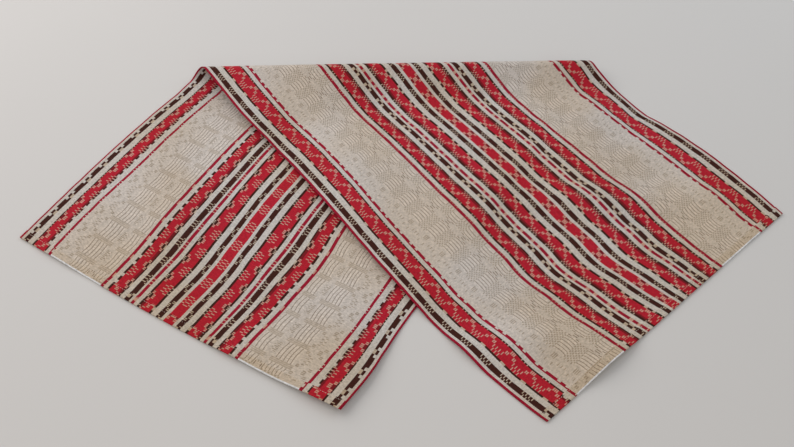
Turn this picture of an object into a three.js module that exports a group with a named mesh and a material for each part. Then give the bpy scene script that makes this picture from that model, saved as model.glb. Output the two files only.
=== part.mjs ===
// Folded table runner: one woven runner with two hemmed ends, laid down and folded over once at a slant.
// Millimetres, +Z up. The origin is the middle of the footprint, on the surface that the cloth lies on.
import * as THREE from "three";

// The cloth. Its first selvedge is the far left one, its second selvedge the near one of the lower wing.
const WIDTH = 450;
const THICKNESS = 1.2;
const HEM_DEPTH = 11;
const HEM_STEP = 1.5; // where the turned edge falls back to single cloth
const HEM_EXTRA = 0.8; // the turned edge adds this much on the upper side
const LAYER_GAP = 1.2; // air between the lower and the upper layer

// Plan of the laid cloth, x to the right and y away from the viewer
const LOWER_HEM = { first: [-474, -93], second: [-67, -290] };
const UPPER_HEM = { first: [155, -283], second: [474, 35] };
const ROLL_START = [-316, 207]; // back of the roll, at the first selvedge
const ROLL_TURN = 8.2; // degrees between the roll and the x axis
const ROLL_LENGTH = 554;
const STRIPE_SLANT = 0.7; // how far a stripe runs along the roll for each millimetre it runs square to it

// The roll at the first selvedge, halfway and at the second selvedge: radius of the turn, slope of the
// ramp in front of it in degrees, and radius of the soft foot where the ramp meets the lower layer
const ROLL = [
  { radius: 12.5, slope: 9, foot: 88 },
  { radius: 11.5, slope: 24, foot: 88 },
  { radius: 9.5, slope: 22, foot: 66 },
];
const RAMP_DRAW = 6; // the foot of the ramp is drawn this much back along the roll
const RAMP_DRAW_LENGTH = 100;

// The stripes of each wing bow sideways, and sway one way near the hem and the other near the roll
const LOWER_BOW = { first: -4, middle: -4, second: 0, firstSway: 0.5, secondSway: 7, hem: 5.5 };
const UPPER_BOW = { first: -10, middle: -7, second: 10, firstSway: -6, secondSway: -1, hem: -0.5 };

// Soft swells: where the middle lies from the first selvedge and from the wing's hem, half width and half
// length, how far the middle moves along for each millimetre across, height, and push to the side
const LOWER_SWELLS = [
  { across: 440, along: 20, wide: 110, long: 120, slant: 0, high: 7, aside: 0 },
  { across: 60, along: 60, wide: 55, long: 120, slant: 0, high: 3, aside: -2 },
  { across: 135, along: 140, wide: 60, long: 90, slant: 0, high: 2, aside: -2 },
  { across: 130, along: 250, wide: 110, long: 110, slant: 0, high: 0, aside: -2.5 },
  { across: 225, along: 200, wide: 70, long: 70, slant: 0, high: 2, aside: -1 },
  { across: 225, along: 80, wide: 75, long: 55, slant: 0, high: 0, aside: 2.5 },
  { across: 320, along: 20, wide: 60, long: 65, slant: 0, high: 3, aside: -3 },
  { across: 320, along: 155, wide: 60, long: 65, slant: 0, high: 0, aside: 4 },
  { across: 450, along: 130, wide: 55, long: 90, slant: 0, high: 0, aside: -5 },
];
const UPPER_SWELLS = [
  { across: 110, along: 10, wide: 62, long: 70, slant: 0, high: 8, aside: 0 },
  { across: 50, along: 92, wide: 120, long: 45, slant: -0.55, high: 5, aside: 1.5 },
  { across: 190, along: 115, wide: 190, long: 45, slant: -0.48, high: 0, aside: -4.5 },
  { across: 310, along: 145, wide: 160, long: 50, slant: -0.8, high: 6, aside: 1 },
  { across: 401, along: 275, wide: 60, long: 60, slant: 0, high: 6, aside: 0 },
  { across: 35, along: 450, wide: 85, long: 170, slant: 0, high: 4, aside: 3.5 },
  { across: 10, along: 300, wide: 60, long: 150, slant: 0, high: 5, aside: 0 },
  { across: 170, along: 260, wide: 120, long: 60, slant: 0, high: 3, aside: 0 },
  { across: 200, along: 0, wide: 60, long: 60, slant: 0, high: 0, aside: 3.5 },
  { across: 325, along: 0, wide: 80, long: 60, slant: 0, high: 0, aside: -3.5 },
];

// Past the lower wing's second selvedge the upper wing sinks to the surface
const STEP_START = 2;
const STEP_LENGTH = 26;

// Rows of the mesh: along the roll by length of cloth from its back, on the wings by shares of their length
const COLUMNS = 24;
const LOWER_STEPS = 10;
const UPPER_STEPS = 18;
const ROLL_ROWS = [
  -45, -36, -30, -25, -21, -17, -13, -9, -5, -1, 3, 7, 11, 15, 19, 23, 27,
  32, 38, 45, 53, 62, 72, 84, 97, 110,
];

const BAND_BEHIND = ROLL_ROWS[0];
const BAND_FRONT = ROLL_ROWS[ROLL_ROWS.length - 1];
const LOWER_MIDDLE = THICKNESS / 2;
const UPPER_MIDDLE = THICKNESS * 1.5 + LAYER_GAP;
const STRIPE_LENGTH = Math.hypot(1, STRIPE_SLANT);
const TURN = THREE.MathUtils.degToRad(ROLL_TURN);
const ALONG_ROLL = new THREE.Vector2(Math.cos(TURN), Math.sin(TURN));
const BEFORE_ROLL = new THREE.Vector2(ALONG_ROLL.y, -ALONG_ROLL.x);

// The parabola through a value at each selvedge and one in the middle
function parabola(share, first, middle, second) {
  const atFirst = first * (1 - share) * (1 - 2 * share);
  const atMiddle = middle * 4 * share * (1 - share);
  const atSecond = second * share * (2 * share - 1);
  return atFirst + atMiddle + atSecond;
}

function rollAt(share) {
  const value = (key) => parabola(share, ROLL[0][key], ROLL[1][key], ROLL[2][key]);
  return { radius: value("radius"), slope: THREE.MathUtils.degToRad(value("slope")), foot: value("foot") };
}

// Section square to the roll, at a length of cloth from the roll's back, negative on the lower layer:
// distance in front of the back and height of the middle of the cloth
function section(length, { radius, slope, foot }) {
  const quarter = (Math.PI / 2) * radius;
  if (length < -quarter) return { front: radius - quarter - length, height: LOWER_MIDDLE };
  const centre = LOWER_MIDDLE + radius;
  const lastAngle = Math.PI / 2 + slope;
  if (length <= radius * lastAngle) {
    const angle = length / radius;
    return { front: radius * (1 - Math.cos(angle)), height: centre + radius * Math.sin(angle) };
  }
  const topFront = radius * (1 - Math.cos(lastAngle));
  const topHeight = centre + radius * Math.sin(lastAngle);
  const footDrop = foot * (1 - Math.cos(slope));
  const ramp = Math.max(0, (topHeight - footDrop - UPPER_MIDDLE) / Math.sin(slope));
  const past = length - radius * lastAngle;
  if (past <= ramp) {
    return { front: topFront + past * Math.cos(slope), height: topHeight - past * Math.sin(slope) };
  }
  const footFront = topFront + ramp * Math.cos(slope);
  const slopeLeft = Math.max(0, slope - (past - ramp) / foot);
  const beyond = Math.max(0, past - ramp - foot * slope);
  return {
    front: footFront + foot * (Math.sin(slope) - Math.sin(slopeLeft)) + beyond,
    height: UPPER_MIDDLE + foot * (1 - Math.cos(slopeLeft)),
  };
}

// A point of the cloth in the band along the roll
function onRoll(share, length) {
  const { front, height } = section(length, rollAt(share));
  const draw = RAMP_DRAW * THREE.MathUtils.clamp(length / RAMP_DRAW_LENGTH, 0, 1);
  const along = share * ROLL_LENGTH + length * STRIPE_SLANT - draw;
  const plan = new THREE.Vector2(...ROLL_START);
  plan.addScaledVector(ALONG_ROLL, along).addScaledVector(BEFORE_ROLL, front);
  return new THREE.Vector3(plan.x, plan.y, height);
}

function planOf({ x, y }) {
  return new THREE.Vector2(x, y);
}

// The sum of the swells' height, or of their push to the side
function swellAt(rows, what, share, fromHem) {
  return rows.reduce((sum, row) => {
    const off = share * WIDTH - row.across;
    const past = fromHem - row.along - row.slant * off;
    return sum + row[what] * Math.max(0, 1 - (off / row.wide) ** 2 - (past / row.long) ** 2) ** 2;
  }, 0);
}

// The plan of one wing: straight from the hem to the band along the roll but for its bow, sway and swells
function makeWing(hem, bow, bandLength, swells) {
  const start = new THREE.Vector2(...hem.first);
  const hemLine = new THREE.Vector2(...hem.second).sub(start);
  const hemOut = new THREE.Vector2(hemLine.y, -hemLine.x).normalize();
  const bandMiddle = planOf(onRoll(0, bandLength)).lerp(planOf(onRoll(1, bandLength)), 0.5);
  const axis = bandMiddle.sub(start.clone().addScaledVector(hemLine, 0.5)).normalize();
  const side = new THREE.Vector2(axis.y, -axis.x);
  function hemPoint(share) {
    const bulge = 4 * share * (1 - share) * bow.hem;
    return start.clone().addScaledVector(hemLine, share).addScaledVector(hemOut, bulge);
  }
  const high = (share, fromHem) => swellAt(swells, "high", share, fromHem);
  const aside = (share, fromHem) => swellAt(swells, "aside", share, fromHem);
  const reach = (share) => hemPoint(share).distanceTo(planOf(onRoll(share, bandLength)));
  function plan(share, fromHem) {
    const way = fromHem / reach(share);
    const sway = THREE.MathUtils.lerp(bow.firstSway, bow.secondSway, share) * 10 * (1 - 2 * way);
    const bend = (parabola(share, bow.first, bow.middle, bow.second) * 4 + sway) * way * (1 - way);
    const sideways = bend + aside(share, fromHem);
    return hemPoint(share).lerp(planOf(onRoll(share, bandLength)), way).addScaledVector(side, sideways);
  }
  return { side, high, aside, reach, plan };
}

const lowerWing = makeWing(LOWER_HEM, LOWER_BOW, BAND_BEHIND, LOWER_SWELLS);
const upperWing = makeWing(UPPER_HEM, UPPER_BOW, BAND_FRONT, UPPER_SWELLS);

// How far the upper layer has sunk beside the lower wing's second selvedge
const edgeStart = planOf(lowerWing.plan(1, 0));
const edgeLine = planOf(onRoll(1, BAND_BEHIND)).sub(edgeStart).normalize();
function sink(plan) {
  const off = plan.clone().sub(edgeStart);
  const past = off.x * edgeLine.y - off.y * edgeLine.x;
  const share = THREE.MathUtils.smoothstep(past, STEP_START, STEP_START + STEP_LENGTH);
  return share * (UPPER_MIDDLE - LOWER_MIDDLE);
}

// The middle of the cloth at a share of its width, by kind of row
function lowerPoint(share, { lead, step }) {
  const fromHem = lead + (lowerWing.reach(share) - lead) * step;
  const plan = lowerWing.plan(share, fromHem);
  return new THREE.Vector3(plan.x, plan.y, LOWER_MIDDLE + lowerWing.high(share, fromHem));
}

function rollPoint(share, { length }) {
  const point = onRoll(share, length);
  if (length <= 0) return point;
  const fromHem = upperWing.reach(share) + (BAND_FRONT - length) * STRIPE_LENGTH;
  const plan = planOf(point).addScaledVector(upperWing.side, upperWing.aside(share, fromHem));
  return new THREE.Vector3(plan.x, plan.y, point.z + upperWing.high(share, fromHem) - sink(plan));
}

function upperPoint(share, { lead, step }) {
  const fromHem = lead + (upperWing.reach(share) - lead) * step;
  const plan = upperWing.plan(share, fromHem);
  const length = BAND_FRONT + (upperWing.reach(share) - fromHem) / STRIPE_LENGTH;
  const height = section(length, rollAt(share)).height;
  return new THREE.Vector3(plan.x, plan.y, height + upperWing.high(share, fromHem) - sink(plan));
}

// Rows from the lower hem over the roll to the upper hem. Extra is the hem's thickness on the upper side.
function hemRows(point, side) {
  return [
    { point, side, lead: 0, step: 0, extra: HEM_EXTRA },
    { point, side, lead: HEM_DEPTH, step: 0, extra: HEM_EXTRA },
    { point, side, lead: HEM_DEPTH + HEM_STEP, step: 0, extra: 0 },
  ];
}

function wingRows(point, side, steps) {
  const inner = Array.from({ length: steps - 1 }, (_, k) => (k + 1) / steps);
  const body = inner.map((step) => ({ point, side, lead: HEM_DEPTH + HEM_STEP, step, extra: 0 }));
  return [...hemRows(point, side), ...body];
}

const ROWS = [
  ...wingRows(lowerPoint, "face", LOWER_STEPS),
  ...ROLL_ROWS.map((length) => ({ point: rollPoint, side: "face", length, extra: 0 })),
  ...wingRows(upperPoint, "reverse", UPPER_STEPS).reverse(),
];

// The middle surface as rows of points, and its normals on the side that faces up on the lower wing
const middle = ROWS.map((row) =>
  Array.from({ length: COLUMNS + 1 }, (_, column) => row.point(column / COLUMNS, row)),
);

function normalAt(row, column) {
  const nextRow = middle[Math.min(row + 1, middle.length - 1)][column];
  const lastRow = middle[Math.max(row - 1, 0)][column];
  const nextColumn = middle[row][Math.min(column + 1, COLUMNS)];
  const lastColumn = middle[row][Math.max(column - 1, 0)];
  return nextColumn.clone().sub(lastColumn).cross(nextRow.clone().sub(lastRow)).normalize();
}

// The closed solid: a face and a reverse half a thickness to each side of the middle, and four edges
function makeClothGeometry() {
  const corners = [];
  for (const side of ["face", "reverse"]) {
    const sign = side === "face" ? 1 : -1;
    ROWS.forEach((row, r) => {
      for (let c = 0; c <= COLUMNS; c += 1) {
        const offset = THICKNESS / 2 + (row.side === side ? row.extra : 0);
        corners.push(middle[r][c].clone().addScaledVector(normalAt(r, c), sign * offset));
      }
    });
  }
  const perRow = COLUMNS + 1;
  const perSide = perRow * ROWS.length;
  const face = (row, column) => row * perRow + column;
  const reverse = (row, column) => perSide + face(row, column);
  const index = [];
  const quad = (a, b, c, d) => index.push(a, b, c, a, c, d);
  for (let r = 0; r < ROWS.length - 1; r += 1) {
    for (let c = 0; c < COLUMNS; c += 1) {
      quad(face(r, c), face(r, c + 1), face(r + 1, c + 1), face(r + 1, c));
      quad(reverse(r, c), reverse(r + 1, c), reverse(r + 1, c + 1), reverse(r, c + 1));
    }
    quad(face(r, 0), face(r + 1, 0), reverse(r + 1, 0), reverse(r, 0));
    quad(face(r, COLUMNS), reverse(r, COLUMNS), reverse(r + 1, COLUMNS), face(r + 1, COLUMNS));
  }
  const last = ROWS.length - 1;
  for (let c = 0; c < COLUMNS; c += 1) {
    quad(face(0, c), reverse(0, c), reverse(0, c + 1), face(0, c + 1));
    quad(face(last, c), face(last, c + 1), reverse(last, c + 1), reverse(last, c));
  }
  const geometry = new THREE.BufferGeometry().setFromPoints(corners);
  geometry.setIndex(index);
  geometry.computeVertexNormals();
  geometry.computeBoundingBox();
  const box = geometry.boundingBox;
  geometry.translate(-(box.min.x + box.max.x) / 2, -(box.min.y + box.max.y) / 2, -box.min.z);
  return geometry;
}

function makeRunnerCloth() {
  const material = new THREE.MeshStandardMaterial({
    color: new THREE.Color(0.78, 0.74, 0.68),
    roughness: 0.9,
    metalness: 0,
    side: THREE.DoubleSide,
  });
  const cloth = new THREE.Mesh(makeClothGeometry(), material);
  cloth.name = "runner_cloth";
  return cloth;
}

const runner = new THREE.Group();
runner.add(makeRunnerCloth());

export default runner;
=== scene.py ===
"""Folded table runner: the woven cloth on the folds of its solid, its stitched hems and a plain studio."""

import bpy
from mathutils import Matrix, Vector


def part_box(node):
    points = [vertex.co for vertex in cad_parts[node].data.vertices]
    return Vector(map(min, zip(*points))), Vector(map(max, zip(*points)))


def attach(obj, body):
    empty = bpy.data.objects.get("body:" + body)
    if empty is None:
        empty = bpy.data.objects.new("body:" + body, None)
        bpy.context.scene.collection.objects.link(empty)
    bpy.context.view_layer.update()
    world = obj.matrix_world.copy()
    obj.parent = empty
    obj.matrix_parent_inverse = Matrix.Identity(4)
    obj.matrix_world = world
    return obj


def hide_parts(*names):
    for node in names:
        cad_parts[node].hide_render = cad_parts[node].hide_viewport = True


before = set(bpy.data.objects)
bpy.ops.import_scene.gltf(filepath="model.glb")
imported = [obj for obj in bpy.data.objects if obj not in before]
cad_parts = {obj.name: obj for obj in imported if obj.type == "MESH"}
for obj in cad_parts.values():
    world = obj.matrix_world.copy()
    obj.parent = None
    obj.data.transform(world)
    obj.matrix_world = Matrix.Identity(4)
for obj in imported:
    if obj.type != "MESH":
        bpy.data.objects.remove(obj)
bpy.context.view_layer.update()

import math
from collections import namedtuple
from functools import partial

import bpy
import numpy as np
from bpy.props import FloatProperty, FloatVectorProperty, IntProperty, PointerProperty
from mathutils import Matrix, Vector

bl_info = {
    "name": "Folded table runner",
    "version": (1, 0, 0),
    "blender": (4, 5, 0),
    "location": "View3D > Sidebar > Runner",
    "description": "Lays a woven runner folded over at a slant, stitches its hems and sets a plain studio",
    "category": "Object",
}

MM = 0.001

# The folds of the solid, in millimetres: the same named values as in the part's source
WIDTH = 450
THICKNESS = 1.2
CLOTH_LENGTH = 1020
HEM_DEPTH = 11
HEM_STEP = 1.5
HEM_EXTRA = 0.8
LAYER_GAP = 1.2
LOWER_HEM = {"first": (-474, -93), "second": (-67, -290)}
UPPER_HEM = {"first": (155, -283), "second": (474, 35)}
ROLL_START = (-316, 207)
ROLL_TURN = math.radians(8.2)
ROLL_LENGTH = 554
STRIPE_SLANT = 0.7
# At the first selvedge, the middle and the second selvedge; the slope of the ramp is in degrees
ROLL = (
    {"radius": 12.5, "slope": 9, "foot": 88},
    {"radius": 11.5, "slope": 24, "foot": 88},
    {"radius": 9.5, "slope": 22, "foot": 66},
)
RAMP_DRAW = 6
RAMP_DRAW_LENGTH = 100
LOWER_BOW = {"first": -4, "middle": -4, "second": 0, "first_sway": 0.5, "second_sway": 7, "hem": 5.5}
UPPER_BOW = {"first": -10, "middle": -7, "second": 10, "first_sway": -6, "second_sway": -1, "hem": -0.5}
# These make a bow's or a sway's number its greatest push
BOW_SCALE = 4
SWAY_SCALE = 10
BAND_BEHIND = -45
BAND_FRONT = 110
STEP_START = 2
STEP_LENGTH = 26
FIRST_FOLD = 348  # length of cloth from the lower hem to the roll's back at the first selvedge

# Soft swells: where the middle lies from the first selvedge and from the wing's hem, half width, half length,
# how far the middle moves along for each millimetre across, height, and how far the stripes are pushed aside
Swell = namedtuple("Swell", "across along wide long slant high aside")
LOWER_SWELLS = (
    Swell(440, 20, 110, 120, 0, 7, 0),
    Swell(60, 60, 55, 120, 0, 3, -2),
    Swell(135, 140, 60, 90, 0, 2, -2),
    Swell(130, 250, 110, 110, 0, 0, -2.5),
    Swell(225, 200, 70, 70, 0, 2, -1),
    Swell(225, 80, 75, 55, 0, 0, 2.5),
    Swell(320, 20, 60, 65, 0, 3, -3),
    Swell(320, 155, 60, 65, 0, 0, 4),
    Swell(450, 130, 55, 90, 0, 0, -5),
)
UPPER_SWELLS = (
    Swell(110, 10, 62, 70, 0, 8, 0),
    Swell(50, 92, 120, 45, -0.55, 5, 1.5),
    Swell(190, 115, 190, 45, -0.48, 0, -4.5),
    Swell(310, 145, 160, 50, -0.8, 6, 1),
    Swell(401, 275, 60, 60, 0, 6, 0),
    Swell(35, 450, 85, 170, 0, 4, 3.5),
    Swell(10, 300, 60, 150, 0, 5, 0),
    Swell(170, 260, 120, 60, 0, 3, 0),
    Swell(200, 0, 60, 60, 0, 0, 3.5),
    Swell(325, 0, 80, 60, 0, 0, -3.5),
)

LOWER_MIDDLE = THICKNESS / 2
UPPER_MIDDLE = THICKNESS * 1.5 + LAYER_GAP
STRIPE_LENGTH = math.hypot(1, STRIPE_SLANT)
ALONG_ROLL = np.array((math.cos(ROLL_TURN), math.sin(ROLL_TURN)))
BEFORE_ROLL = np.array((ALONG_ROLL[1], -ALONG_ROLL[0]))

# Rows of the finer mesh
HEM_ROWS = (0, 0.5, 1.6, 6, HEM_DEPTH - 0.7, HEM_DEPTH, HEM_DEPTH + HEM_STEP)
TURNED_ROWS = HEM_ROWS.index(HEM_DEPTH)  # rows of faces on the turned part of a hem
LOWER_STEPS = 44
UPPER_STEPS = 62
ROLL_STEPS = (
    *np.linspace(BAND_BEHIND, -21, 7),
    *np.arange(-19.5, 33, 1.5),
    *np.linspace(34.5, BAND_FRONT, 22),
)
WIDEST_COLUMN = 5
NARROWEST_COLUMN = 0.3
EDGE_ROUND = 0.45

# The weave repeats along the cloth every 14 cells. A cell holds three picks of weft.
REPEAT_CELLS = 14
CELL = 2.1275
PICKS_IN_CELL = 3
WARP_PITCH = 0.62
FIRST_CLUSTER = 2  # from the lower hem to the middle of the first cluster
CLUSTER_MIDDLE = 3.5
REPEAT = REPEAT_CELLS * CELL
REPEATS = 34  # from the first cluster to the last one at the upper hem

# The cloth was beaten unevenly: length of a repeat, and from the hem to the middle of its first cluster
LOWER_REPEAT, LOWER_CLUSTER = 31.3, 4
UPPER_REPEAT = {"first": 29.5, "second": 30.25}
UPPER_CLUSTER = {"first": 3.8, "second": 0.4}

# Where the lower wing's repeat gives way to the upper wing's, before and after the fold
REPEAT_BLEND_BEFORE, REPEAT_BLEND_SLANT = 150, 290
REPEAT_BLEND_AFTER = 12

# The small unevenness of the cloth: its waves, their lengths and turns, and how far they lift and shift it
RIPPLE_WAVES = 9
RIPPLE_LENGTHS = (26, 85)
RIPPLE_TURNS = (-0.9, 0.9)
RIPPLE_HEIGHT = 0.225
RIPPLE_SHIFT = 0.5
RIPPLE_SEEDS = {"right": 7, "away": 9, "up": 4}
CALM_SPAN = (-20, 30)  # the turn of the roll, where it lifts the cloth less
CALM_SHARE = 0.75


def cells(*numbers):
    """The cells of a repeat that a mark fills, as one number with a bit for each."""
    return sum(1 << number for number in numbers)


CLUSTER = cells(0, 1, 2, 3, 4, 5, 6)
CLUSTER_ODD = cells(1, 3, 5)
CLUSTER_EVEN = cells(0, 2, 4, 6)
PAIRS = cells(7, 8, 12, 13)
POST = cells(9, 10, 11)
BESIDE_POST = cells(8, 12)
ALL = cells(*range(REPEAT_CELLS))

# How much of a cell a mark covers
STROKE = 0.62
CHECK = 0.78
SOLID = 1.5
LINE_WIDTH = 0.75
LINE_EDGES = (0.3, 0.7)
# Painted highlight on the raised weft between two fine lines
RIDGE_PAINTED_HIGHLIGHT = 0.1  # how much lighter the cloth is between two fine lines
MARK_SOFTNESS = 0.09
LOOSE_LINE = 1.2  # how far a fine line strays
LEAST_PITCH = 0.1  # a band whose pitch is less has no fine lines
WHOLE_PITCHES = 20  # more than the pitches before the first line

THREADS = (
    ("pale", "Bleached linen", "Plain stripes between the coloured ones", (0.655, 0.605, 0.56)),
    ("linen", "Linen ground", "The broad unbleached bands", (0.675, 0.60, 0.54)),
    ("fawn", "Linen half-tone", "The faint posts of the broad bands", (0.525, 0.445, 0.37)),
    ("tan", "Linen shadow marks", "Darker marks of the broad bands", (0.44, 0.37, 0.30)),
    ("ash", "Linen lines", "Fine lengthwise lines of the broad bands", (0.285, 0.225, 0.175)),
    ("red", "Red", "The red stripes", (0.515, 0.014, 0.032)),
    ("crimson", "Crimson", "The thin red lines and the selvedge", (0.37, 0.008, 0.032)),
    ("wine", "Dark red", "Edges of the red stripes", (0.22, 0.010, 0.016)),
    ("brown", "Brown", "The dark brown stripes", (0.056, 0.0135, 0.008)),
    ("rose", "Marks on red", "Weft that shows on the red stripes", (0.64, 0.36, 0.29)),
    ("beige", "Marks on brown", "Weft that shows on the brown stripes", (0.56, 0.45, 0.35)),
)
THREAD_NUMBER = {name: number for number, (name, *_) in enumerate(THREADS)}

# One band of the weave: its far side from the selvedge in millimetres, its ground, and up to two sets of
# marks. The second set may be fine lines: place of the first one, pitch, and how far one bows at the cluster.
Band = namedtuple(
    "Band",
    "to ground mark cells cover second second_cells lines",
    defaults=(None, 0, SOLID, None, 0, (0, 0, 0)),
)


def lined(first, pitch, count, line_cells, post_rows, bow, post="tan"):
    """Fine lengthwise lines in the linen, with dotted marks between them that change from row to row."""
    step = pitch / len(post_rows)
    ends = [first - pitch / 2 + step * (number + 1) for number in range(count * len(post_rows))]
    rows = [post_rows[number % len(post_rows)] for number in range(len(ends))]
    lines = (first, pitch, bow)
    return [Band(end, "linen", post, row, CHECK, "ash", line_cells, lines) for end, row in zip(ends, rows)]


FACE_BANDS = (
    Band(2, "crimson"),
    Band(5.2, "pale"),
    Band(8.4, "pale", "brown", CLUSTER | POST),
    Band(11.8, "brown", "beige", POST),
    Band(19.5, "pale"),
    Band(21.2, "brown", "beige", CLUSTER_EVEN, STROKE),
    Band(25, "red", "rose", PAIRS, CHECK, "wine", POST),
    Band(29.3, "red", "rose", POST, CHECK),
    Band(33.3, "red", "rose", CLUSTER_ODD, STROKE),
    Band(36, "wine", "rose", CLUSTER_EVEN, STROKE),
    Band(38.5, "brown", "beige", CLUSTER_EVEN, STROKE, "pale", PAIRS),
    Band(45.5, "pale"),
    Band(47.2, "crimson"),
    Band(49, "crimson", "linen", CLUSTER_ODD, STROKE),
    Band(54, "linen"),
    Band(58, "linen", "tan", PAIRS, CHECK),
    Band(62.5, "linen", "tan", POST, CHECK),
    Band(66, "linen", "tan", CLUSTER_ODD, STROKE),
    Band(70, "linen", "tan", CLUSTER_EVEN, STROKE),
    Band(74, "linen", "tan", PAIRS, CHECK),
    Band(77.3, "linen", "fawn", POST, CHECK),
    *lined(79.5, 4.25, 5, ALL & ~POST, (POST,), 0.6, "fawn"),
    Band(101, "linen", "fawn", POST, CHECK),
    Band(104, "linen", "tan", CLUSTER, STROKE),
    Band(106.5, "linen", "tan", CLUSTER_ODD, STROKE),
    Band(108, "linen", "tan", CLUSTER_EVEN, STROKE),
    Band(110.6, "linen", "fawn", POST, CHECK),
    *lined(113, 4.6, 3, ALL & ~POST, (POST,), 0.6, "fawn"),
    Band(127.4, "linen"),
    Band(129.4, "crimson"),
    Band(131.4, "crimson", "rose", POST),
    Band(137, "pale"),
    Band(140, "pale", "brown", CLUSTER | POST),
    Band(144.5, "red", "rose", CLUSTER_EVEN, STROKE),
    Band(148.5, "red", "rose", CLUSTER_ODD, STROKE),
    Band(151.5, "red", "rose", POST, CHECK),
    Band(154.5, "wine", "rose", PAIRS, CHECK, "brown", POST),
    Band(156.3, "brown", "beige", POST),
    Band(162, "pale"),
    Band(167, "brown", "beige", CLUSTER_ODD, STROKE),
    Band(169, "brown", "beige", CLUSTER_EVEN, STROKE),
    Band(171.7, "pale"),
    Band(175.5, "crimson", "rose", CLUSTER_ODD, STROKE),
    Band(180.7, "pale"),
    Band(183.2, "brown", "beige", POST, STROKE),
    Band(186, "red", "rose", PAIRS, CHECK, "brown", POST),
    Band(189, "red", "rose", POST, CHECK),
    Band(193.5, "red", "rose", CLUSTER_ODD, STROKE),
    Band(198, "red", "rose", CLUSTER_EVEN, STROKE),
    Band(201, "brown", "beige", CLUSTER_ODD, STROKE),
    Band(208, "pale"),
    Band(211, "brown", "beige", POST, STROKE),
    Band(214.5, "brown", "beige", PAIRS, STROKE),
    Band(218.5, "pale"),
    Band(222, "red", "rose", CLUSTER_ODD, STROKE),
    Band(226.5, "red", "rose", CLUSTER_EVEN, STROKE),
)
REVERSE_BANDS = (
    Band(2.7, "crimson"),
    Band(6, "pale"),
    Band(9, "brown", "beige", CLUSTER_ODD, STROKE),
    Band(13, "brown", "beige", CLUSTER_EVEN, STROKE),
    Band(20, "pale"),
    Band(22.5, "brown", "beige", POST),
    Band(27, "red", "rose", CLUSTER_ODD, STROKE),
    Band(31.5, "red", "rose", CLUSTER_EVEN, STROKE),
    Band(35.5, "red", "rose", PAIRS, CHECK),
    Band(40, "red", "rose", POST, CHECK),
    Band(42, "brown", "beige", CLUSTER_ODD, STROKE),
    Band(47.5, "pale"),
    Band(49.3, "crimson"),
    Band(51.3, "crimson", "linen", PAIRS),
    Band(60, "linen"),
    Band(64, "linen", "tan", BESIDE_POST, STROKE),
    Band(68, "linen", "tan", CLUSTER_ODD, STROKE),
    Band(75, "linen", "tan", POST, STROKE),
    Band(77.9, "linen", "tan", CLUSTER_ODD, STROKE),
    *lined(80, 4.1, 6, ALL & ~CLUSTER, (CLUSTER_EVEN, CLUSTER_ODD), -0.5),
    Band(103.6, "linen", "ash", PAIRS),
    Band(105, "linen"),
    Band(106, "linen", "ash", POST),
    Band(107.8, "linen"),
    Band(108.8, "linen", "ash", POST),
    Band(110, "linen"),
    Band(111, "linen", "ash", PAIRS),
    *lined(113.2, 4.3, 3, ALL & ~CLUSTER, (CLUSTER_ODD, CLUSTER_EVEN), 0.4),
    Band(127.2, "linen", "tan", CLUSTER_EVEN, STROKE),
    Band(129.4, "crimson"),
    Band(131.3, "crimson", "rose", CLUSTER_EVEN, STROKE),
    Band(136.7, "pale"),
    Band(139.5, "brown", "beige", CLUSTER_ODD, STROKE),
    Band(143.5, "red", "rose", POST, CHECK),
    Band(148, "red", "rose", PAIRS, CHECK),
    Band(151, "red", "rose", CLUSTER_EVEN, STROKE),
    Band(154, "wine", "rose", CLUSTER_ODD, STROKE),
    Band(156, "brown", "beige", CLUSTER_EVEN, STROKE),
    Band(162, "pale"),
    Band(166, "beige", "brown", CLUSTER | POST),
    Band(168.5, "brown", "beige", POST),
    Band(171.5, "pale"),
    Band(175.5, "rose", "crimson", CLUSTER | POST),
    Band(180.5, "pale"),
    Band(183.7, "brown", "beige", CLUSTER_EVEN, STROKE),
    Band(186.3, "wine", "rose", CLUSTER_ODD, STROKE),
    Band(190, "red", "rose", CLUSTER_EVEN, STROKE),
    Band(193.6, "red", "rose", PAIRS, CHECK),
    Band(198, "red", "rose", POST, CHECK),
    Band(201, "beige", "brown", CLUSTER | POST),
    Band(208, "pale"),
    Band(211, "brown", "beige", CLUSTER_EVEN, STROKE),
    Band(214.5, "brown", "beige", CLUSTER_ODD, STROKE),
    Band(218.5, "pale"),
    Band(222, "red", "rose", PAIRS, CHECK, "wine", POST),
    Band(226.8, "red", "rose", POST, CHECK),
)

# Noises of the finish: features in a metre, detail and roughness
Noise = namedtuple("Noise", "scale detail rough", defaults=(2, 0.5))
LOOSE_LINES = Noise(90)
UNEVEN_YARN = Noise(260, 3)
SLUBS = Noise(620, 2, 0.6)
BROAD_TONE = Noise(9, 4)
STREAKS = Noise(26)
FIBRE = Noise(1900, 3, 0.7)
# Patches of painted cool and warm light on the cloth
PAINTED_LIGHT_PATCHES = Noise(7)
FLOOR_PATCHES = Noise(8)
FLOOR_CLOUDS = Noise(1.3, 3)

# Shares of the parts that make the yarn's height and shade, and the slow changes of tone
WEFT_UNEVEN, WARP_UNEVEN = 0.9, 0.7
WEFT_HEIGHT, WARP_HEIGHT, CROSSING_HEIGHT = 0.6, 0.25, 0.22
YARN_SHADE, SHADE_OF_HEIGHT, SHADE_OF_YARN, SHADE_OF_SLUBS = 0.66, 0.42, 0.35, 0.85
SLUB_STRETCH = 0.45
STREAK_STRETCH = 30
TONE_OF_BROAD, TONE_OF_STREAKS = 1.2, 0.8
# Where the patches of painted light turn from cool to warm
PAINTED_LIGHT_EDGES = (0.38, 0.62)

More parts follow.
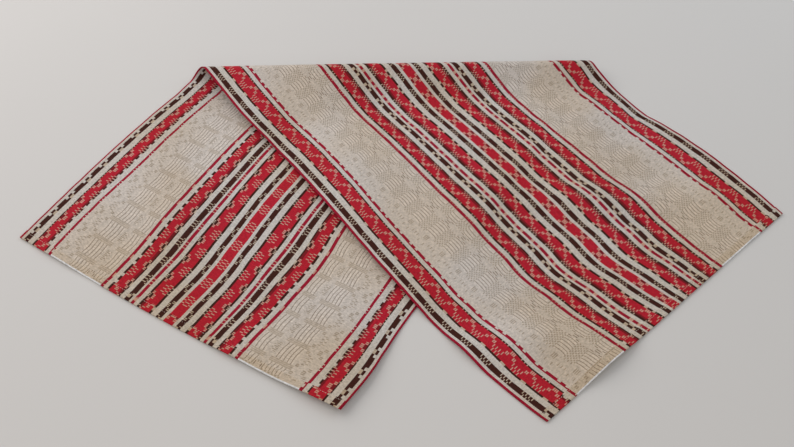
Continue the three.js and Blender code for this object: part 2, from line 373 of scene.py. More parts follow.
# Finish of the cloth, the sewing thread and the floor: a pair is the least value and what a noise adds to it.
# The depths of the bumps are in metres.
SPECULAR = 0.15
SHEEN_ROUGHNESS = 0.45
CLOTH_TONE, CLOTH_SHEEN, CLOTH_ROUGH = 0.2, 0.015, (0.76, 0.16)
THREAD_TONE, THREAD_SHEEN, THREAD_ROUGH = 0.3, 0.2, (0.62, 0.2)
FLOOR_SHEEN, FLOOR_ROUGH, FLOOR_TONE = 0, (0.7, 0.15), (0.97, 0.06)
BUMP_OF_YARN, BUMP_OF_FIBRE, BUMP_OF_CROWN, BUMP_OF_RIDGE = 0.8, 0.35, 0.9, 0.8
CLOTH_BUMP_DEPTH, CLOTH_BUMP_STRENGTH = 0.00022, 0.55
THREAD_BUMP_DEPTH = 0.00008
TWISTS = 900  # of the sewing thread in a metre

# How the cloth changes towards its hems, by length from the hem in millimetres: the tint of the turned hem, a
# painted warm light that fades away from the hems, how much of the painted warm light comes from the patches
# and from the hems, and the pale edge where the linen turns, partly a painted highlight
HEM_TINT_SPAN = (HEM_DEPTH - 1.6, HEM_DEPTH + 0.4)
HEM_TINT_SHARE, HEM_TINT_ON_LINEN = 0.2, 0.2
PAINTED_WARM_SPAN = (10, 150)
PAINTED_WARMTH_BY_PATCHES, PAINTED_WARMTH_BY_HEM = 0.7, 0.5
HEM_FOLD_AND_HIGHLIGHT_SPAN = (0.6, 1.5)

# The hem stitches in millimetres, how far their runs stay from the selvedges, and how high they lie
STITCH_PITCH, STITCH_LENGTH, THREAD_WIDTH = 3.2, 2.4, 0.48
STITCH_SEED = 11
STITCH_INSET = 6
STITCH_POINTS = 90
BEHIND_STITCH, BESIDE_STITCH = 2, 0.002  # neighbours that tell which way the cloth faces: length and share
STITCH_OVER = THICKNESS / 2 + HEM_EXTRA + 0.12
STITCH_UNDER = THICKNESS / 2 - 0.02
STITCH_LEAST, STITCH_MOST = (0.86, 0.9, 0.85), (1.08, 1.1, 1.1)
BEAD = {"Segments": 8, "Rings": 6, "Radius": 0.5}  # one stitch, before it is sized
THREAD_FLATNESS = 0.75

# The camera of the photograph, and the frame that its picture was taken in
PHOTO_SIZE = (794, 447)
CAMERA_PLACE = (-0.022, -0.718, 0.889)
CAMERA_DOWN = math.radians(52.1)
CAMERA_ROLL = math.radians(4.3)
CAMERA_FOCAL_PIXELS = 900
CAMERA_NEAREST = 0.02
SENSOR_WIDTH = 36

Lamp = namedtuple("Lamp", "name place width height power colour")
LAMPS = (
    Lamp("window_left", (-1.45, 0.85, 1.25), 2.6, 1.8, 30, (1.0, 0.965, 0.945)),
    Lamp("window_front", (0.3, -1.6, 1.6), 2.2, 1.6, 8.5, (1.0, 0.9, 0.77)),
    Lamp("window_back", (1.1, 1.2, 1.2), 1.8, 1.0, 8.5, (0.76, 0.89, 1.0)),
)
WORLD_COLOUR = (0.98, 0.97, 0.97)
WORLD_STRENGTH = 0.39
FLOOR_SIZE = 6
FLOOR_DROP = 0.0004


# Shape of the folds


def parabola(share, first, middle, second):
    """A value across the cloth, from those at the first selvedge, the middle and the second selvedge."""
    at_first = first * (1 - share) * (1 - 2 * share)
    at_middle = middle * 4 * share * (1 - share)
    at_second = second * share * (2 * share - 1)
    return at_first + at_middle + at_second


def smooth_step(value, start, end):
    """Nought up to the start, one from the end on, and a soft rise between them."""
    part = np.clip((value - start) / (end - start), 0, 1)
    return part * part * (3 - 2 * part)


def roll_at(share):
    """Radius of the roll, slope of its ramp and radius of its foot."""
    radius, slope, foot = (
        parabola(share, *(row[key] for row in ROLL)) for key in ("radius", "slope", "foot")
    )
    return radius, np.radians(slope), foot


def section(length, share):
    """Distance in front of the roll's back, and height, at a length of cloth square to the roll."""
    radius, slope, foot = roll_at(share)
    quarter = math.pi / 2 * radius
    centre = LOWER_MIDDLE + radius
    last_angle = math.pi / 2 + slope
    angle = np.clip(length / radius, -math.pi / 2, last_angle)
    top_front = radius * (1 - np.cos(last_angle))
    top_height = centre + radius * np.sin(last_angle)
    ramp = np.maximum(0, (top_height - foot * (1 - np.cos(slope)) - UPPER_MIDDLE) / np.sin(slope))
    past = np.maximum(0, length - radius * last_angle)
    on_ramp = np.minimum(past, ramp)
    slope_left = np.maximum(0, slope - np.maximum(0, past - ramp) / foot)
    beyond = np.maximum(0, past - ramp - foot * slope)
    foot_front = top_front + ramp * np.cos(slope) + foot * (np.sin(slope) - np.sin(slope_left)) + beyond
    flat, turn, straight = length < -quarter, length <= radius * last_angle, past <= ramp
    front = np.select(
        [flat, turn, straight],
        [radius - quarter - length, radius * (1 - np.cos(angle)), top_front + on_ramp * np.cos(slope)],
        foot_front,
    )
    height = np.select(
        [flat, turn, straight],
        [LOWER_MIDDLE + 0 * radius, centre + radius * np.sin(angle), top_height - on_ramp * np.sin(slope)],
        UPPER_MIDDLE + foot * (1 - np.cos(slope_left)),
    )
    return front, height


def on_roll(share, length):
    """Plan and height of the cloth in the band along the roll."""
    front, height = section(length, share)
    draw = RAMP_DRAW * np.clip(length / RAMP_DRAW_LENGTH, 0, 1)
    along = share * ROLL_LENGTH + length * STRIPE_SLANT - draw
    plan = np.array(ROLL_START) + along[:, None] * ALONG_ROLL + front[:, None] * BEFORE_ROLL
    return plan, height


class Wing:
    """The plan of one wing: straight from its hem to the band along the roll but for its bow and sway."""

    def __init__(self, hem, bow, band_length, swells):
        self.bow = bow
        self.band_length = band_length
        self.swells = swells
        self.start = np.array(hem["first"], float)
        self.hem_line = np.array(hem["second"], float) - self.start
        out = np.array((self.hem_line[1], -self.hem_line[0]))
        self.hem_out = out / np.linalg.norm(out)
        ends, _ = on_roll(np.array((0.0, 1.0)), np.full(2, float(band_length)))
        axis = ends.mean(0) - (self.start + self.hem_line / 2)
        axis /= np.linalg.norm(axis)
        self.side = np.array((axis[1], -axis[0]))

    def hem_point(self, share):
        bulge = (4 * share * (1 - share) * self.bow["hem"])[:, None]
        return self.start + share[:, None] * self.hem_line + bulge * self.hem_out

    def band_point(self, share):
        return on_roll(share, np.full(share.shape, float(self.band_length)))[0]

    def reach(self, share):
        return np.linalg.norm(self.hem_point(share) - self.band_point(share), axis=1)

    def plan(self, share, from_hem):
        bow = self.bow
        way = from_hem / self.reach(share)
        sway = bow["first_sway"] + (bow["second_sway"] - bow["first_sway"]) * share
        sway = sway * SWAY_SCALE * (1 - 2 * way)
        bend = parabola(share, bow["first"], bow["middle"], bow["second"]) * BOW_SCALE
        sideways = (bend + sway) * way * (1 - way) + self.swell("aside", share, from_hem)
        hem, band = self.hem_point(share), self.band_point(share)
        return hem + (band - hem) * way[:, None] + sideways[:, None] * self.side

    def swell(self, what, share, from_hem):
        """The sum of the swells' height, or of how far they push the stripes aside."""
        total = np.zeros_like(share)
        for row in self.swells:
            off = share * WIDTH - row.across
            past = from_hem - row.along - row.slant * off
            inside = np.maximum(0, 1 - (off / row.wide) ** 2 - (past / row.long) ** 2)
            total += getattr(row, what) * inside**2
        return total


LOWER_WING = Wing(LOWER_HEM, LOWER_BOW, BAND_BEHIND, LOWER_SWELLS)
UPPER_WING = Wing(UPPER_HEM, UPPER_BOW, BAND_FRONT, UPPER_SWELLS)


def sink(plan):
    """How far the upper layer has sunk beside the lower wing's second selvedge."""
    one = np.ones(1)
    start = LOWER_WING.plan(one, np.zeros(1))[0]
    line = on_roll(one, np.full(1, float(BAND_BEHIND)))[0][0] - start
    line /= np.linalg.norm(line)
    off = plan - start
    past = off[:, 0] * line[1] - off[:, 1] * line[0]
    return smooth_step(past, STEP_START, STEP_START + STEP_LENGTH) * (UPPER_MIDDLE - LOWER_MIDDLE)


def band_start(share):
    """Length of cloth from the lower hem to the back of the roll."""
    return FIRST_FOLD + share * WIDTH * STRIPE_SLANT


def woven_place(length, share):
    """The place along the cloth counted in even repeats, as the shader reads it."""
    fold = band_start(share)
    lower = FIRST_CLUSTER + (length - LOWER_CLUSTER) * REPEAT / LOWER_REPEAT
    repeat = UPPER_REPEAT["first"] + (UPPER_REPEAT["second"] - UPPER_REPEAT["first"]) * share
    cluster = UPPER_CLUSTER["first"] + (UPPER_CLUSTER["second"] - UPPER_CLUSTER["first"]) * share
    last = FIRST_CLUSTER + REPEATS * REPEAT
    upper = last - (CLOTH_LENGTH - length - cluster) * REPEAT / repeat
    blend_start = fold - REPEAT_BLEND_BEFORE - REPEAT_BLEND_SLANT * share
    return lower + (upper - lower) * smooth_step(length, blend_start, fold + REPEAT_BLEND_AFTER)


def ripple(along, across, seed):
    """A soft unevenness of the cloth, from about -1 to 1, the same in every run."""
    chance = np.random.default_rng(seed)
    total = np.zeros_like(along)
    for _ in range(RIPPLE_WAVES):
        wave = chance.uniform(*RIPPLE_LENGTHS)
        turn = chance.uniform(*RIPPLE_TURNS)
        phase = chance.uniform(0, 2 * math.pi)
        total += np.sin((along * math.cos(turn) + across * math.sin(turn)) * 2 * math.pi / wave + phase)
    return total / RIPPLE_WAVES


# One row of the mesh: its wing or the roll, length before the step, step towards the roll, length past the
# roll's back, the side that a hem is turned to, and how much thicker the hem makes that side
Row = namedtuple("Row", "wing lead step length side extra", defaults=(0, 0, "face", 0))


def cloth_rows():
    """The rows of the mesh from the lower hem over the roll to the upper hem."""

    def wing_rows(wing, side, steps):
        extra = [HEM_EXTRA if lead <= HEM_DEPTH else 0 for lead in HEM_ROWS]
        hem = [Row(wing, lead, side=side, extra=thicker) for lead, thicker in zip(HEM_ROWS, extra)]
        body = [Row(wing, HEM_ROWS[-1], step / steps, side=side) for step in range(1, steps)]
        return hem + body

    lower = wing_rows("lower", "face", LOWER_STEPS)
    upper = wing_rows("upper", "reverse", UPPER_STEPS)
    roll = [Row("roll", 0, length=float(length)) for length in ROLL_STEPS]
    return [*lower, *roll, *upper[::-1]]


def middle_of(row, share):
    """The middle of the cloth in one row: places, and lengths of cloth from the lower hem."""
    if row.wing == "roll":
        plan, height = on_roll(share, np.full(share.shape, row.length))
        if row.length > 0:
            from_hem = UPPER_WING.reach(share) + (BAND_FRONT - row.length) * STRIPE_LENGTH
            plan = plan + UPPER_WING.swell("aside", share, from_hem)[:, None] * UPPER_WING.side
            height = height + UPPER_WING.swell("high", share, from_hem) - sink(plan)
        return plan, height, band_start(share) + row.length * STRIPE_LENGTH
    if row.wing == "lower":
        reach = LOWER_WING.reach(share)
        from_hem = row.lead + (reach - row.lead) * row.step
        plan = LOWER_WING.plan(share, from_hem)
        height = LOWER_MIDDLE + LOWER_WING.swell("high", share, from_hem)
        band = band_start(share) + BAND_BEHIND * STRIPE_LENGTH
        return plan, height, from_hem * band / reach
    reach = UPPER_WING.reach(share)
    from_hem = row.lead + (reach - row.lead) * row.step
    plan = UPPER_WING.plan(share, from_hem)
    _, height = section(BAND_FRONT + (reach - from_hem) / STRIPE_LENGTH, share)
    height = height + UPPER_WING.swell("high", share, from_hem) - sink(plan)
    left = CLOTH_LENGTH - band_start(share) - BAND_FRONT * STRIPE_LENGTH
    return plan, height, CLOTH_LENGTH - from_hem * left / reach


def column_places():
    """Where the mesh is cut across the cloth: at each band's side on either face, and in wide bands."""
    half = sorted({0.0, WIDTH / 2, *(b.to for b in FACE_BANDS + REVERSE_BANDS if b.to < WIDTH / 2)})
    kept = [half[0]]
    for place in half[1:]:
        if place - kept[-1] >= NARROWEST_COLUMN:
            kept.append(place)
    cut = [kept[0]]
    for place in kept[1:]:
        parts = math.ceil((place - cut[-1]) / WIDEST_COLUMN)
        cut.extend(np.linspace(cut[-1], place, parts + 1)[1:])
    return np.array([*cut, *(WIDTH - place for place in cut[-2::-1])])


def band_at(bands, across):
    """The band at a place across the cloth, whose second half mirrors its first."""
    from_edge = min(across, WIDTH - across)
    return next(band for band in bands if from_edge < band.to)


def cloth_surface():
    """Places, cloth coordinates and normals of the middle of the cloth, by row and column."""
    across = column_places()
    share = across / WIDTH
    rows = cloth_rows()
    places, lengths = [], []
    for row in rows:
        plan, height, length = middle_of(row, share)
        places.append(np.column_stack([plan, height]))
        lengths.append(length)
    places, lengths = np.array(places), np.array(lengths)
    wide = np.broadcast_to(across, lengths.shape)
    rise = ripple(lengths, wide, RIPPLE_SEEDS["up"])
    rise -= rise.min()
    calm = [row.wing == "roll" and CALM_SPAN[0] < row.length < CALM_SPAN[1] for row in rows]
    share_of_rise = 1 - CALM_SHARE * np.array(calm, float)
    places[..., 2] += rise * share_of_rise[:, None] * RIPPLE_HEIGHT
    places[..., 0] += ripple(lengths, wide, RIPPLE_SEEDS["right"]) * RIPPLE_SHIFT
    places[..., 1] += ripple(lengths, wide, RIPPLE_SEEDS["away"]) * RIPPLE_SHIFT
    normals = np.cross(np.gradient(places, axis=1), np.gradient(places, axis=0))
    normals /= np.linalg.norm(normals, axis=2, keepdims=True)
    return rows, across, places, lengths, normals


def band_values(band):
    """The four attributes of a face: ground, first mark, second mark, and the fine lines of the second."""
    mark = (THREAD_NUMBER.get(band.mark, 0), band.cells, band.cover)
    second = (THREAD_NUMBER.get(band.second, 0), band.second_cells, SOLID)
    return THREAD_NUMBER[band.ground], mark, second, np.array(band.lines) * MM


def cloth_points(rows, places, normals, half):
    """Points of a ring round each row, over the face and back under the reverse, then of the two ends."""

    def raised(side, sign):
        lift = [half + (row.extra if row.side == side else 0) for row in rows]
        return places + normals * sign * np.array(lift)[:, None, None]

    face, reverse = raised("face", 1), raised("reverse", -1)
    middle = (face + reverse) / 2

    def pushed_out(edge, inner):
        out = places[edge] - places[inner]
        return middle[edge] + out / np.linalg.norm(out, axis=1, keepdims=True) * EDGE_ROUND

    first_rim, second_rim = pushed_out(np.s_[:, 0], np.s_[:, 1]), pushed_out(np.s_[:, -1], np.s_[:, -2])
    ring = np.concatenate([face, second_rim[:, None], reverse[:, ::-1], first_rim[:, None]], axis=1)
    return np.concatenate([ring.reshape(-1, 3), pushed_out(0, 1), pushed_out(-1, -2)])


def cloth_faces(count, ring_column):
    """Corners of the faces, and their steps round the ring: a ring on at the lower hem, two at the upper."""
    around = len(ring_column)
    steps = np.arange(around)
    following = (steps + 1) % around
    faces, face_at = [], []
    for row in range(count - 1):
        low, high = row * around, (row + 1) * around
        hem = 1 if row < TURNED_ROWS else 2 if row >= count - 1 - TURNED_ROWS else 0
        quads = np.column_stack([low + steps, low + following, high + following, high + steps])
        faces.extend(quads.tolist())
        face_at.extend(steps + hem * around)
    first_end = count * around
    second_end = first_end + ring_column.max() + 1
    for base, end, hem in ((0, first_end, 1), (first_end - around, second_end, 2)):
        for step, follower in zip(steps, following):
            near, far = base + step, base + follower
            mid_near, mid_far = end + ring_column[step], end + ring_column[follower]
            corners = [near, far, mid_far] if mid_near == mid_far else [near, far, mid_far, mid_near]
            faces.append(corners[::-1] if hem == 1 else corners)
            face_at.append(step + hem * around)
    return faces, np.array(face_at)


def build_cloth_mesh(thickness_share):
    """The sheet with its thickness, its cloth coordinates and the threads of every face."""
    rows, across, places, lengths, normals = cloth_surface()
    last = len(across) - 1
    ring_column = np.array([*range(last + 1), last, *range(last, -1, -1), 0])
    around = len(ring_column)
    points = cloth_points(rows, places, normals, THICKNESS / 2 * thickness_share)
    faces, face_at = cloth_faces(len(rows), ring_column)
    mesh = bpy.data.meshes.new("runner_cloth_woven")
    mesh.from_pydata((points * MM).tolist(), [], faces)

    def by_vertex(table):
        return np.concatenate([table[:, ring_column].ravel(), table[0], table[-1]])

    # Cloth coordinates of each corner; a turned hem shows the other side, mirrored at its edge
    woven = np.array([woven_place(length, across / WIDTH) for length in lengths])
    vertex = np.empty(len(mesh.loops), np.int32)
    mesh.loops.foreach_get("vertex_index", vertex)
    column = by_vertex(np.broadcast_to(np.arange(last + 1), woven.shape))[vertex]
    along = by_vertex(woven)[vertex]
    hem, step = np.divmod(face_at, around)
    on_face, on_reverse = step < last, (step > last + 1) & (step < around - 2)
    corners = [len(face) for face in faces]
    for turned, edge in (((hem == 1) & on_face, woven[0]), ((hem == 2) & on_reverse, woven[-1])):
        along = np.where(np.repeat(turned, corners), 2 * edge[column] - along, along)
    cloth_place = np.column_stack([along, across[column]]) * MM
    layer = mesh.uv_layers.new(name="cloth_place")
    layer.uv.foreach_set("vector", cloth_place.astype(np.float32).ravel())

    length_at = by_vertex(lengths)
    from_hem = np.minimum(length_at, CLOTH_LENGTH - length_at) * MM
    mesh.attributes.new("from_hem", "FLOAT", "POINT").data.foreach_set("value", from_hem.astype(np.float32))

    # Threads of each face, by its step round the ring: the open cloth, then the lower and the upper hem
    middles = (across[:-1] + across[1:]) / 2
    face, reverse = ([band_at(bands, place) for place in middles] for bands in (FACE_BANDS, REVERSE_BANDS))
    selvedge = [FACE_BANDS[0]] * 2
    bands = []
    for top, bottom in ((face, reverse), (reverse, reverse), (face, face)):
        bands += [*top, *selvedge, *bottom[::-1], *selvedge]
    values = zip(*(band_values(band) for band in bands))
    for name, data in zip(("ground_thread", "mark_threads", "second_threads", "fine_lines"), values):
        data = np.array(data, np.float32)[face_at]
        kind, key = ("FLOAT", "value") if data.ndim == 1 else ("FLOAT_VECTOR", "vector")
        mesh.attributes.new(name, kind, "FACE").data.foreach_set(key, data.ravel())
    mesh.polygons.foreach_set("use_smooth", np.ones(len(mesh.polygons), bool))
    mesh.update()
    return mesh


def settle(mesh):
    """Puts the middle of the cloth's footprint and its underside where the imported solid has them."""
    low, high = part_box("runner_cloth")
    corners = np.array([vertex.co for vertex in mesh.vertices])
    shift = (np.array(low) + np.array(high) - corners.min(0) - corners.max(0)) / 2
    shift[2] = low[2] - corners[:, 2].min()
    mesh.transform(Matrix.Translation(Vector(shift)))
    return shift


# Shader groups


def new_group(name, inputs, outputs):
    """A group whose sockets are plain numbers, with its wiring and its two ends."""
    group = bpy.data.node_groups.new(name, "ShaderNodeTree")
    for label, value in inputs.items():
        socket = group.interface.new_socket(label, in_out="INPUT", socket_type="NodeSocketFloat")
        socket.default_value = value
    for label in outputs:
        group.interface.new_socket(label, in_out="OUTPUT", socket_type="NodeSocketFloat")
    wire = Wiring(group)
    return group, wire, wire.node("NodeGroupInput").outputs, wire.node("NodeGroupOutput").inputs


class Wiring:
    """Adds nodes to a tree and links them in short calls."""

    def __init__(self, tree):
        self.tree = tree

    def node(self, kind, inputs=(), **settings):
        """A new node with these settings, its sockets fed by name or by number."""
        made = self.tree.nodes.new(kind)
        for key, value in settings.items():
            setattr(made, key, value)
        for key, value in dict(inputs).items():
            self.feed(made.inputs[key], value)
        return made

    def feed(self, socket, value):
        """Links a socket to this one, or sets this one's own value."""
        if isinstance(value, bpy.types.NodeSocket):
            self.tree.links.new(value, socket)
        else:
            socket.default_value = value

    def math(self, operation, *values, clamp=False):
        made = self.node("ShaderNodeMath", enumerate(values), operation=operation, use_clamp=clamp)
        return made.outputs[0]

    def plus(self, first, second):
        return self.math("ADD", first, second)

    def minus(self, first, second):
        return self.math("SUBTRACT", first, second)

    def times(self, first, second):
        return self.math("MULTIPLY", first, second)

    def over(self, first, second):
        return self.math("DIVIDE", first, second)

    def rest(self, share):
        """What a share leaves of one."""
        return self.minus(1, share)

    def weighted(self, total, *parts):
        """A first value, and others that are added to it, each with its weight."""
        for value, weight in parts:
            total = self.plus(total, self.times(value, weight))
        return total

    def mix(self, share, first, second, blend="MIX"):
        colour_a, colour_b = 6, 7
        inputs = {"Factor": share, colour_a: first, colour_b: second}
        return self.node("ShaderNodeMix", inputs, data_type="RGBA", blend_type=blend).outputs[2]

    def tinted(self, colour, tint):
        return self.mix(1, colour, tint, "MULTIPLY")

    def grey(self, tone):
        return self.node("ShaderNodeCombineColor", enumerate([tone] * 3)).outputs[0]

    def smooth(self, value, start, end):
        inputs = enumerate((value, start, end, 0, 1))
        return self.node("ShaderNodeMapRange", inputs, interpolation_type="SMOOTHSTEP").outputs[0]

    def join(self, *parts):
        return self.node("ShaderNodeCombineXYZ", enumerate(parts)).outputs[0]

    def split(self, vector):
        return self.node("ShaderNodeSeparateXYZ", {0: vector}).outputs

    def attribute(self, name, kind="Fac"):
        return self.node("ShaderNodeAttribute", attribute_name=name).outputs[kind]

    def noise(self, vector, kind):
        inputs = {"Vector": vector, "Scale": kind.scale, "Detail": kind.detail, "Roughness": kind.rough}
        return self.node("ShaderNodeTexNoise", inputs).outputs["Fac"]

    def swing(self, vector, kind):
        """Noise that goes as far below nought as above it."""
        return self.minus(self.noise(vector, kind), 0.5)

    def bump(self, height, distance, strength=1):
        inputs = {"Height": height, "Distance": distance, "Strength": strength}
        return self.node("ShaderNodeBump", inputs).outputs[0]

    def group(self, group, **values):
        """A group placed in this tree; Cell size is given as cell_size."""
        inputs = {label.replace("_", " ").capitalize(): value for label, value in values.items()}
        return self.node("ShaderNodeGroup", inputs, node_tree=group).outputs


def cell_marks_group():
    """Mask of the marks in the cells of the repeat: a cell's bit is read from the band's number."""
    group, wire, given, result = new_group(
        "woven_cell_marks", {"Along": 0, "Cells": 0, "Cover": 1, "Cell size": CELL * MM}, ("Mask", "Crown")
    )
    first = CLUSTER_MIDDLE - FIRST_CLUSTER / CELL
    cell = wire.plus(wire.over(given["Along"], given["Cell size"]), first + REPEAT_CELLS)
    number_in_repeat = wire.math("FLOOR", wire.math("FLOORED_MODULO", cell, REPEAT_CELLS))
    halved = wire.over(wire.plus(given["Cells"], 0.5), wire.math("POWER", 2, number_in_repeat))
    bit = wire.math("FLOOR", wire.math("FLOORED_MODULO", halved, 2))
    off = wire.math("ABSOLUTE", wire.minus(wire.math("FRACT", cell), 0.5))
    edge = wire.times(given["Cover"], 0.5)
    inside = wire.rest(wire.smooth(off, wire.minus(edge, MARK_SOFTNESS), edge))
    wire.feed(result["Mask"], wire.times(bit, inside))
    round_top = wire.rest(wire.math("POWER", wire.times(off, 2), 2))
    wire.feed(result["Crown"], wire.times(bit, round_top))
    return group


def fine_lines_group():
    """Mask of the fine lengthwise lines, which bow a little in every repeat. Without a pitch it is one."""
    inputs = dict.fromkeys(("Along", "Across", "First line", "Line pitch", "Bow"), 0)
    inputs["Cell size"] = CELL * MM
    group, wire, given, result = new_group("woven_fine_lines", inputs, ("Mask", "Ridge"))
    repeat = wire.times(given["Cell size"], REPEAT_CELLS)
    turns = wire.over(wire.minus(given["Along"], FIRST_CLUSTER * MM), repeat)
    wave = wire.math("COSINE", wire.times(turns, 2 * math.pi))
    stray = wire.swing(wire.join(given["Along"], given["Across"]), LOOSE_LINES)
    bow = wire.weighted(wire.times(given["Bow"], wave), (stray, LOOSE_LINE * MM))
    from_first = wire.minus(wire.minus(given["Across"], given["First line"]), bow)
    pitch = wire.math("MAXIMUM", given["Line pitch"], LEAST_PITCH * MM)
    turn = wire.math("FRACT", wire.plus(wire.over(from_first, pitch), WHOLE_PITCHES + 0.5))
    from_line = wire.math("ABSOLUTE", wire.minus(turn, 0.5))
    edges = (LINE_WIDTH * share * MM for share in LINE_EDGES)
    line = wire.rest(wire.smooth(wire.times(from_line, pitch), *edges))
    plain = wire.math("LESS_THAN", given["Line pitch"], LEAST_PITCH * MM)
    wire.feed(result["Mask"], wire.math("MAXIMUM", line, plain))
    between = wire.math("SINE", wire.times(from_line, math.pi))
    wire.feed(result["Ridge"], wire.times(between, wire.rest(plain)))
    return group


def yarn_group():
    """Plain weave seen close: height of the crossing threads and the shade between them."""
    weft_pitch = CELL / PICKS_IN_CELL
    inputs = {"Along": 0, "Across": 0, "Weft pitch": weft_pitch * MM, "Warp pitch": WARP_PITCH * MM}
    group, wire, given, result = new_group("woven_yarn", inputs, ("Height", "Shade"))
    uneven = wire.swing(wire.join(given["Along"], given["Across"]), UNEVEN_YARN)
    weft = wire.weighted(wire.over(given["Along"], given["Weft pitch"]), (uneven, WEFT_UNEVEN))
    warp = wire.weighted(wire.over(given["Across"], given["Warp pitch"]), (uneven, WARP_UNEVEN))
    weft, warp = (wire.math("SINE", wire.times(turns, math.pi)) for turns in (weft, warp))
    tops = [wire.math("ABSOLUTE", wave) for wave in (weft, warp)]
    parts = zip((*tops, wire.times(weft, warp)), (WEFT_HEIGHT, WARP_HEIGHT, CROSSING_HEIGHT))
    height = wire.weighted(0, *parts)
    wire.feed(result["Height"], height)
    slubs = wire.swing(wire.join(given["Along"], wire.times(given["Across"], SLUB_STRETCH)), SLUBS)
    parts = (height, SHADE_OF_HEIGHT), (uneven, SHADE_OF_YARN), (slubs, SHADE_OF_SLUBS)
    wire.feed(result["Shade"], wire.weighted(YARN_SHADE, *parts))
    return group


def tone_and_light_group():
    """Slow changes of tone over the cloth, from dye, handling and dust, and patches of painted warm and cool
    light.
    """
    group, wire, given, result = new_group(
        "cloth_tone_and_painted_light", {"Along": 0, "Across": 0, "Strength": CLOTH_TONE}, ("Tone", "Fibre", "Painted light")
    )
    place = wire.join(given["Along"], given["Across"])
    streaks = wire.swing(wire.join(given["Along"], wire.times(given["Across"], STREAK_STRETCH)), STREAKS)
    tone = wire.weighted(0, (wire.swing(place, BROAD_TONE), TONE_OF_BROAD), (streaks, TONE_OF_STREAKS))
    wire.feed(result["Tone"], wire.weighted(1, (tone, given["Strength"])))
    wire.feed(result["Fibre"], wire.noise(place, FIBRE))
    # Painted light: patches where the cloth's colour is tinted from cool light to warm light
    wire.feed(result["Painted light"], wire.smooth(wire.noise(place, PAINTED_LIGHT_PATCHES), *PAINTED_LIGHT_EDGES))
    return group


def thread_palette(wire, settings, number):
    """The colour of a thread by its number."""
    share = wire.over(wire.plus(number, 0.5), len(THREADS))
    made = wire.node("ShaderNodeValToRGB", {"Fac": share})
    ramp = made.color_ramp
    ramp.interpolation = "CONSTANT"
    while len(ramp.elements) < len(THREADS):
        ramp.elements.new(0.5)
    for place, (name, *_) in enumerate(THREADS):
        ramp.elements[place].position = place / len(THREADS)
        ramp.elements[place].color = (*getattr(settings, name), 1)
    return made.outputs["Color"]


def surface_shader(wire, colour, roughness, sheen):
    """A matt surface, wired to its material's output."""
    inputs = {
        "Base Color": colour,
        "Roughness": roughness,
        "Specular IOR Level": SPECULAR,
        "Sheen Weight": sheen,
        "Sheen Roughness": SHEEN_ROUGHNESS,
    }
    shader = wire.node("ShaderNodeBsdfPrincipled", inputs)
    wire.node("ShaderNodeOutputMaterial", {"Surface": shader.outputs[0]})
    return shader


def new_material(name):
    """An empty material and the wiring of its nodes."""
    material = bpy.data.materials.new(name)
    material.use_nodes = True
    material.node_tree.nodes.clear()
    return material, Wiring(material.node_tree)


def band_colour(wire, settings, groups, along, across):
    """Colour of the bands and their marks, mask of the linen, crowns of the marks and ridges by the lines."""
    ground = wire.attribute("ground_thread")
    names = ("mark_threads", "second_threads", "fine_lines")
    mark, second, lines = (wire.split(wire.attribute(name, "Vector")) for name in names)
    marks, second_marks = (
        wire.group(groups["marks"], along=along, cells=threads[1], cover=threads[2], cell_size=settings.cell)
        for threads in (mark, second)
    )
    fine = wire.group(
        groups["lines"],
        along=along,
        across=wire.math("MINIMUM", across, wire.minus(WIDTH * MM, across)),
        first_line=lines[0],
        line_pitch=lines[1],
        bow=lines[2],
        cell_size=settings.cell,
    )
    second_mask, ridge = (wire.times(second_marks["Mask"], fine[name]) for name in ("Mask", "Ridge"))
    colour = thread_palette(wire, settings, ground)
    colour = wire.mix(marks["Mask"], colour, thread_palette(wire, settings, mark[0]))
    colour = wire.mix(second_mask, colour, thread_palette(wire, settings, second[0]))
    linen = wire.math("COMPARE", ground, THREAD_NUMBER["linen"], 0.5)
    return colour, linen, marks["Crown"], ridge


